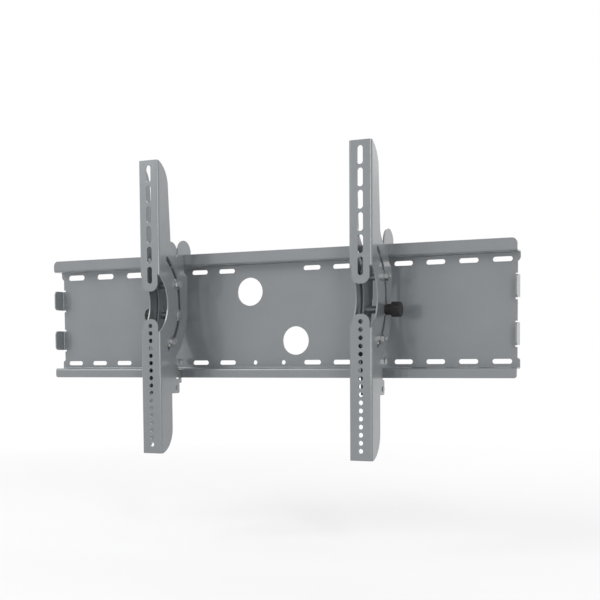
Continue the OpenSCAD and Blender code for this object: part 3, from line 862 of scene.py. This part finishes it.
def build_finishes() -> dict[Finish, bpy.types.Material]:
    """Makes every material once.

    Returns:
        The materials, keyed by finish.
    """
    return {
        Finish.COAT: PowderCoat().build(),
        Finish.ZINC: ZincPlate().build(),
        Finish.BLACK: BlackOxide().build(),
        Finish.PLASTIC: MouldedPlastic("black_plastic", level=0.011, sheen=0.3).build(),
        Finish.GREY_PLASTIC: MouldedPlastic("grey_plastic", level=0.17, tint=(0.97, 1.0, 1.02)).build(),
        Finish.NYLON: MouldedPlastic(
            "natural_nylon", level=0.72, tint=(1.0, 0.985, 0.93), roughness=(0.37, 0.49)
        ).build(),
        Finish.BRASS: TurnedBrass().build(),
    }


def dress(obj: bpy.types.Object, material: bpy.types.Material) -> None:
    """Gives an object one material and nothing else."""
    obj.data.materials.clear()
    obj.data.materials.append(material)


def finish_of(node: str) -> Finish:
    """The finish of a construction node, as the record names it."""
    rows = frame["record"]["subparts"]
    return Finish(next(row["material_slot"] for row in rows if row["node"] == node))


def body_of(node: str) -> str:
    """The moving body that a construction node belongs to."""
    bodies = frame["record"]["behaviour"]["bodies"]
    return next(body for body, members in bodies.items() if node in members)


# Pieces


@dataclass
class Workshop:
    """Finishes pieces and hands them over to the bodies that they move with.

    Attributes:
        materials: The materials, keyed by finish.
    """

    materials: dict[Finish, bpy.types.Material]

    def hand_over(
        self, obj: bpy.types.Object, node: str, finish: Finish | None = None
    ) -> bpy.types.Object:
        """Dresses a piece, puts it in its node's place and lets it move with the node's body.

        Args:
            obj: The finished, settled piece.
            node: The construction node that it stands for.
            finish: Its finish, or None for the one that the record names.

        Returns:
            The same piece.
        """
        finish = finish or finish_of(node)
        dress(obj, self.materials[finish])
        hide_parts(node)
        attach(obj, body_of(node))
        LOG.info("%s: %d faces", obj.name, len(obj.data.polygons))
        return obj

    def soften(
        self, node: str, edge: float, segments: int = 2, crease: float = 35.0, finish: Finish | None = None
    ) -> bpy.types.Object:
        """Copies a node's mesh, cleans it and breaks its edges.

        Args:
            node: The construction node.
            edge: Width of the broken edges.
            segments: Steps in the rounding of an edge.
            crease: Edges that turn by more than this many degrees are broken.
            finish: Its finish, or None for the one that the record names.

        Returns:
            The new piece.
        """
        name = f"{node}.finished"
        obj = bpy.data.objects.new(name, frame["nodes"][node].data.copy())
        obj.data.name = name
        bpy.context.scene.collection.objects.link(obj)
        in_edit_mode(obj, self.clean)
        apply_modifier(
            obj, "BEVEL", width=edge, segments=segments, limit_method="ANGLE",
            angle_limit=math.radians(crease), use_clamp_overlap=True, harden_normals=False,
        )
        smooth(obj, crease)
        return self.hand_over(obj, node, finish)

    @staticmethod
    def clean() -> None:
        """Merges the loose triangles and clears the lines across flat faces."""
        bpy.ops.mesh.remove_doubles(threshold=MERGE)
        bpy.ops.mesh.dissolve_limited(angle_limit=math.radians(FLAT_TURN))


@dataclass
class WallPlate:
    """The folded plate with its two hook rails and four end tabs.

    Attributes:
        shop: Where pieces are finished.
        edge: Width of the broken edges.
    """

    shop: Workshop
    edge: float = 0.35 * MM

    def build(self) -> None:
        """Breaks the plate's punched and sheared edges."""
        self.shop.soften("wall_plate", self.edge)


@dataclass
class TiltArm:
    """An arm and the hook bracket that carries it.

    Attributes:
        shop: Where pieces are finished.
        side: The arm.
        edge: Width of the broken edges.
    """

    shop: Workshop
    side: Side
    edge: float = 0.35 * MM

    def build(self) -> None:
        """Breaks the edges of both sheets."""
        self.shop.soften(f"{self.side.value}_arm", self.edge)
        self.shop.soften(f"{self.side.value}_hook_bracket", self.edge)


@dataclass
class GuideFasteners:
    """The guide bolts of one arm with their nuts, washers and spacer tubes.

    Attributes:
        shop: Where pieces are finished.
        side: The arm.
        head: Form of the bolt heads.
        nut: Form of the nuts.
        thread: Form of the thread that shows beyond a nut.
        tip: Length of the chamfered tip beyond the thread.
        chamfer: Width of the chamfer at the tip.
        bore_play: Gap between a nut's bore and the bolt, on the radius.
        core_lap: How far the bolt's core reaches into the thread, as a share of its radius.
        washer_edge: Rounding of the flat washers' and the spacer tubes' edges.
        friction_edge: Rounding of the friction washers' edges.
        crease: Edges that turn by more than this many degrees stay sharp.
    """

    shop: Workshop
    side: Side
    head: Hexagon = Hexagon()
    nut: Hexagon = Hexagon(height=6.5 * MM)
    thread: Thread = Thread()
    tip: float = 0.5 * MM
    chamfer: float = 0.35 * MM
    bore_play: float = 0.05 * MM
    core_lap: float = 0.02
    washer_edge: float = 0.2 * MM
    friction_edge: float = 0.15 * MM
    crease: float = 30.0

    def build(self) -> None:
        """Models bolts and nuts and softens washers and tubes."""
        for level in Level:
            self.bolt(level)
        self.nuts()
        side = self.side.value
        self.shop.soften(f"{side}_guide_washers", self.washer_edge)
        self.shop.soften(f"{side}_friction_washers", self.friction_edge)
        self.shop.soften(f"{side}_spacer_tubes", self.washer_edge, finish=Finish.COAT)

    def bolt_node(self, level: Level) -> str:
        """Name of a guide bolt's construction node."""
        return f"{self.side.value}_{level.value}_guide_bolt"

    def axis_of(self, level: Level) -> Vector:
        """A point on a bolt's axis at X = 0."""
        low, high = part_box(self.bolt_node(level))
        return Vector((0.0, (low[1] + high[1]) / 2, (low[2] + high[2]) / 2))

    def bolt(self, level: Level) -> bpy.types.Object:
        """Models one bolt, its head on the inner side and its thread on the knob's side.

        Args:
            level: Which of the two bolts.

        Returns:
            The bolt.
        """
        node = self.bolt_node(level)
        low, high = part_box(node)
        length = high[0] - low[0]
        # modelled from the head's face at X = 0 to the tip, then turned to this side
        head = placed(self.head.build(chamfer_start=False), Vector((self.head.height, 0.0, 0.0)), True)
        threaded = self.thread.pitch * self.thread.turns
        thread_start = length - self.tip - threaded
        shank = rod(self.thread.major / 2, self.head.height / 2, thread_start)
        core_radius = self.thread.core * (1.0 + self.core_lap)
        core = rod(core_radius, thread_start - self.tip, length, rim=self.chamfer)
        thread = placed(self.thread.build(), Vector((thread_start, 0.0, 0.0)))
        bolt = joined([head, shank, core, thread], f"{node}.finished")
        face = low[0] if self.side is Side.RIGHT else high[0]
        placed(bolt, Vector((face, 0.0, 0.0)) + self.axis_of(level), self.side is Side.LEFT)
        smooth(bolt, self.crease)
        return self.shop.hand_over(bolt, node)

    def nuts(self) -> bpy.types.Object:
        """Models the two nuts, chamfered on both faces and bored for the bolts.

        Returns:
            Both nuts as one piece.
        """
        node = f"{self.side.value}_guide_nuts"
        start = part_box(node)[0][0]
        pair = []
        for level in Level:
            nut = self.nut.build(chamfer_start=True)
            bore = rod(self.thread.major / 2 + self.bore_play, -MM, self.nut.height + MM)
            carve(nut, bore, Cut.AWAY)
            pair.append(placed(nut, Vector((start, 0.0, 0.0)) + self.axis_of(level)))
        nuts = joined(pair, f"{node}.finished")
        smooth(nuts, self.crease)
        return self.shop.hand_over(nuts, node)


@dataclass
class ClampKnob:
    """The clamp bolt of one arm with its washer and the knob that tightens it.

    Attributes:
        shop: Where pieces are finished.
        side: The arm.
        moulded_edge: Rounding of the knob's edges.
        metal_edge: Rounding of the turned pieces' edges.
        length_share: Length of the finished knob, as a share of the construction's.
    """

    shop: Workshop
    side: Side
    moulded_edge: float = 0.5 * MM
    metal_edge: float = 0.25 * MM
    length_share: float = 0.88

    def build(self) -> None:
        """Softens the moulded knob and the turned pieces."""
        side = self.side.value
        knob = self.shop.soften(f"{side}_knob", self.moulded_edge, segments=3)
        self.shorten(knob)
        self.shop.soften(f"{side}_clamp_bolt", self.metal_edge, finish=Finish.COAT)
        self.shop.soften(f"{side}_knob_washer", self.metal_edge, finish=Finish.BLACK)

    def shorten(self, knob: bpy.types.Object) -> None:
        """Brings the knob to the length that the photograph shows, from its seat outwards.

        Args:
            knob: The softened knob.
        """
        low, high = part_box(f"{self.side.value}_knob")
        seat = Vector((low[0] if self.side is Side.RIGHT else high[0], 0.0, 0.0))
        in_edit_mode(knob, lambda: bpy.ops.transform.resize(
            value=(self.length_share, 1.0, 1.0), center_override=seat, orient_type="GLOBAL"
        ))


@dataclass
class SpringLatch:
    """The latch of one arm with its pin and its torsion spring.

    Attributes:
        shop: Where pieces are finished.
        side: The arm.
        wire: Thickness of the spring's wire.
        coils: Turns of the spring, ending half a turn from where it starts.
        wire_sides: Facets round the wire.
        steps: Facets round a turn.
        edge: Rounding of the latch's and the pin's edges.
        crease: Edges of the spring that turn by more than this many degrees stay sharp.
    """

    shop: Workshop
    side: Side
    wire: float = 1.2 * MM
    coils: float = 4.5
    wire_sides: int = 12
    steps: int = 32
    edge: float = 0.3 * MM
    crease: float = 40.0

    def build(self) -> None:
        """Softens latch and pin and winds the spring."""
        side = self.side.value
        self.shop.soften(f"{side}_latch", self.edge, finish=Finish.COAT)
        self.shop.soften(f"{side}_latch_pin", self.edge, finish=Finish.COAT)
        self.spring()

    def spring(self) -> bpy.types.Object:
        """Winds the spring's coils round the pin and adds its two legs.

        Returns:
            The spring.
        """
        node = f"{self.side.value}_latch_spring"
        low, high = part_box(node)
        pin_low, pin_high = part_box(f"{self.side.value}_latch_pin")
        axis = Vector((0.0, (pin_low[1] + pin_high[1]) / 2, (pin_low[2] + pin_high[2]) / 2))
        radius = (high[2] - low[2] - self.wire) / 2
        first = low[0] + self.wire / 2
        last = high[0] - self.wire / 2
        deselect_all()
        bpy.ops.mesh.primitive_circle_add(
            vertices=self.wire_sides, radius=self.wire / 2, fill_type="NOTHING",
            location=(0.0, 0.0, radius), rotation=ALONG_Y,
        )
        coil = settle(bpy.context.object)
        steps = round(self.steps * self.coils)
        apply_modifier(
            coil, "SCREW", axis="X", angle=math.tau * self.coils, screw_offset=last - first, iterations=1,
            steps=steps, render_steps=steps,
        )
        in_edit_mode(coil, close_shell)
        # the coil starts above the pin and ends below it
        placed(coil, Vector((first, axis.y, axis.z)))
        upper_leg = self.leg(first, axis.y, low[1], axis.z + radius)
        lower_leg = self.leg(last, axis.y, high[1], axis.z - radius)
        spring = joined([coil, upper_leg, lower_leg], f"{node}.finished")
        smooth(spring, self.crease)
        return self.shop.hand_over(spring, node)

    def leg(self, x: float, start: float, end: float, z: float) -> bpy.types.Object:
        """Models a straight leg of the spring along Y.

        Args:
            x: Its place along the pin.
            start: Where it leaves the coil.
            end: Where it ends.
            z: Its height.

        Returns:
            The leg.
        """
        deselect_all()
        bpy.ops.mesh.primitive_cylinder_add(
            vertices=self.wire_sides, radius=self.wire / 2, depth=abs(end - start),
            location=(x, (start + end) / 2, z), rotation=ALONG_Y,
        )
        return settle(bpy.context.object)


@dataclass
class RailStop:
    """The block that rests on the bottom rail, and its pin.

    Attributes:
        shop: Where pieces are finished.
        side: The arm.
        block_edge: Rounding of the block's edges.
        pin_edge: Rounding of the pin's edges.
    """

    shop: Workshop
    side: Side
    block_edge: float = 0.5 * MM
    pin_edge: float = 0.3 * MM

    def build(self) -> None:
        """Softens block and pin."""
        self.shop.soften(f"{self.side.value}_rail_stop", self.block_edge)
        self.shop.soften(f"{self.side.value}_stop_pin", self.pin_edge, finish=Finish.COAT)


@dataclass
class Mount:
    """The whole mount: every construction node gets its finish, and what shows is finished.

    Attributes:
        materials: The materials, keyed by finish.
    """

    materials: dict[Finish, bpy.types.Material]

    def build(self) -> None:
        """Dresses all nodes and builds the finished pieces, sub-assembly by sub-assembly."""
        for node, obj in sorted(frame["nodes"].items()):
            finish = finish_of(node)
            dress(obj, self.materials[finish])
        shop = Workshop(self.materials)
        WallPlate(shop).build()
        for side in Side:
            TiltArm(shop, side).build()
            GuideFasteners(shop, side).build()
            ClampKnob(shop, side).build()
            SpringLatch(shop, side).build()
            RailStop(shop, side).build()


# Studio


@dataclass(frozen=True)
class Photograph:
    """Where the photographer stood, worked out from the plate's and the arms' corners.

    Attributes:
        frame_px: Side of the square picture.
        focal_px: Focal length in the picture's pixels.
        optical_centre_v_px: Row of the optical centre, from the top.
        place: Where the camera stands.
        yaw: Its turn to the left, in degrees.
        pitch: Its tilt upwards, in degrees.
        roll: Its turn about its own axis, in degrees.
        sensor: Width of the sensor in millimetres.
    """

    frame_px: float = 600.0
    focal_px: float = 1040.85
    optical_centre_v_px: float = 420.73
    place: tuple[float, float, float] = (0.8292, -1.7108, -0.0751)
    yaw: float = 24.23
    pitch: float = -3.49
    roll: float = -0.38
    sensor: float = 36.0

    def build(self) -> bpy.types.Object:
        """Sets up the camera at the photograph's view.

        Returns:
            The camera.
        """
        data = bpy.data.cameras.new("camera")
        data.sensor_width = self.sensor
        data.lens = self.sensor * self.focal_px / self.frame_px
        data.shift_y = (self.optical_centre_v_px - self.frame_px / 2) / self.frame_px
        camera = bpy.data.objects.new("camera", data)
        bpy.context.scene.collection.objects.link(camera)
        aim = Euler((math.radians(90.0 + self.pitch), 0.0, math.radians(self.yaw)), "XYZ").to_matrix()
        camera.location = self.place
        camera.rotation_euler = (aim @ Matrix.Rotation(math.radians(self.roll), 3, "Z")).to_euler()
        bpy.context.scene.camera = camera
        return camera


@dataclass(frozen=True)
class Lamp:
    """A soft panel lamp that faces the mount.

    Attributes:
        name: The lamp's name.
        place: Where it stands.
        width: Its width.
        height: Its height.
        power: Its power in watts.
    """

    name: str
    place: tuple[float, float, float]
    width: float
    height: float
    power: float

    def build(self, target: Vector) -> None:
        """Hangs the lamp.

        Args:
            target: The point that it faces.
        """
        data = bpy.data.lights.new(self.name, "AREA")
        data.shape = "RECTANGLE"
        data.size = self.width
        data.size_y = self.height
        data.energy = self.power
        lamp = bpy.data.objects.new(self.name, data)
        bpy.context.scene.collection.objects.link(lamp)
        lamp.location = self.place
        lamp.rotation_euler = (target - lamp.location).to_track_quat("-Z", "Y").to_euler()


@dataclass
class Studio:
    """Pale floor, white surroundings and soft lamps.

    Attributes:
        floor_drop: Height of the mount above the floor.
        floor_radius: Radius of the floor.
        floor_levels: Its darkest and lightest tone.
        floor_scale: Cells per metre of its tone.
        floor_roughness: Its roughness.
        floor_sheen: How much it mirrors.
        fade_start: Distance at which the floor starts to go over into white.
        fade_end: Distance at which it has gone over.
        fade_near: Share of white right under the mount.
        ambient: Strength of the even light from all round.
        white: Strength of the surroundings where they are looked at.
        lamps: The soft lamps.
    """

    floor_drop: float = 0.16
    floor_radius: float = 30.0
    floor_levels: Span = (0.86, 0.88)
    floor_scale: float = 0.8
    floor_roughness: float = 0.9
    floor_sheen: float = 0.1
    fade_start: float = 0.4
    fade_end: float = 2.2
    fade_near: float = 0.25
    ambient: float = 0.75
    white: float = 1.0
    lamps: list[Lamp] = field(
        default_factory=lambda: [
            Lamp("key_lamp", (1.7, -2.3, 0.75), 0.5, 2.0, 26.0),
            Lamp("fill_lamp", (-1.1, -1.2, 1.1), 1.0, 1.0, 12.0),
            Lamp("rear_lamp", (0.2, 1.9, 1.3), 1.6, 1.6, 12.0),
        ]
    )

    def build(self) -> None:
        """Builds the floor, the world and the lamps."""
        self.floor()
        self.world()
        centre = (CAD_BOX[0] + CAD_BOX[1]) / 2
        for lamp in self.lamps:
            lamp.build(centre)
        bpy.context.scene.view_settings.view_transform = "Standard"

    def floor(self) -> None:
        """A wide pale disc below the mount, which keeps the mount's shadow."""
        deselect_all()
        bpy.ops.mesh.primitive_circle_add(
            vertices=96, radius=self.floor_radius, fill_type="NGON",
            location=(0.0, 0.0, CAD_BOX[0].z - self.floor_drop),
        )
        floor = settle(bpy.context.object)
        floor.name = "floor"
        n = Nodes("pale_floor")
        patch = n.ramp(n.noise(self.floor_scale, detail=3.0), SOFT, UNIT)
        dark, light = (grey(level) for level in self.floor_levels)
        n.shade(
            Base_Color=n.mix(patch, dark, light), Roughness=self.floor_roughness,
            Specular_IOR_Level=self.floor_sheen,
        )
        self.fade_to_white(n)
        dress(floor, n.material)

    def fade_to_white(self, n: Nodes) -> None:
        """Lets the floor go over into the white surroundings away from the mount.

        Args:
            n: The floor's nodes.
        """
        distance = n.tree.nodes.new("ShaderNodeVectorMath")
        distance.operation = "LENGTH"
        n.link(n.coordinates, distance.inputs[0])
        fade = (self.fade_start, self.fade_end)
        away = n.ramp(distance.outputs["Value"], fade, (self.fade_near, 1.0))
        seen = n.tree.nodes.new("ShaderNodeMath")
        seen.operation = "MULTIPLY"
        n.link(away, seen.inputs[0])
        n.link(looked_at(n.tree), seen.inputs[1])
        glow = n.add("ShaderNodeEmission", Color=grey(1.0), Strength=self.white)
        choose = n.add("ShaderNodeMixShader", Fac=seen.outputs["Value"])
        n.link(n.shader.outputs["BSDF"], choose.inputs[1])
        n.link(glow.outputs["Emission"], choose.inputs[2])
        n.link(choose.outputs["Shader"], n.output.inputs["Surface"])

    def world(self) -> None:
        """An even grey that lights the mount, and white where the camera or a shine looks past it."""
        world = bpy.data.worlds.new("studio")
        world.use_nodes = True
        tree = world.node_tree
        tree.nodes.clear()
        output = tree.nodes.new("ShaderNodeOutputWorld")
        choose = tree.nodes.new("ShaderNodeMixShader")
        tree.links.new(looked_at(tree), choose.inputs["Fac"])
        for place, strength in ((1, self.ambient), (2, self.white)):
            shine = tree.nodes.new("ShaderNodeBackground")
            shine.inputs["Color"].default_value = grey(1.0)
            shine.inputs["Strength"].default_value = strength
            tree.links.new(shine.outputs["Background"], choose.inputs[place])
        tree.links.new(choose.outputs["Shader"], output.inputs["Surface"])
        bpy.context.scene.world = world


def looked_at(tree: bpy.types.NodeTree) -> bpy.types.NodeSocket:
    """Is 1 for what the camera sees itself, in a shine or through glass, and 0 for light.

    Args:
        tree: The node tree to add the test to.

    Returns:
        The test's socket.
    """
    path = tree.nodes.new("ShaderNodeLightPath")
    result = path.outputs["Is Camera Ray"]
    for other in ("Is Glossy Ray", "Is Transmission Ray"):
        either = tree.nodes.new("ShaderNodeMath")
        either.operation = "MAXIMUM"
        tree.links.new(result, either.inputs[0])
        tree.links.new(path.outputs[other], either.inputs[1])
        result = either.outputs["Value"]
    return result


def main() -> None:
    """Builds the camera, the mount and the studio in order."""
    logging.basicConfig(level=logging.INFO, format="%(name)s: %(message)s")
    Photograph().build()
    materials = build_finishes()
    Mount(materials).build()
    Studio().build()


if __name__ == "__main__":
    main()
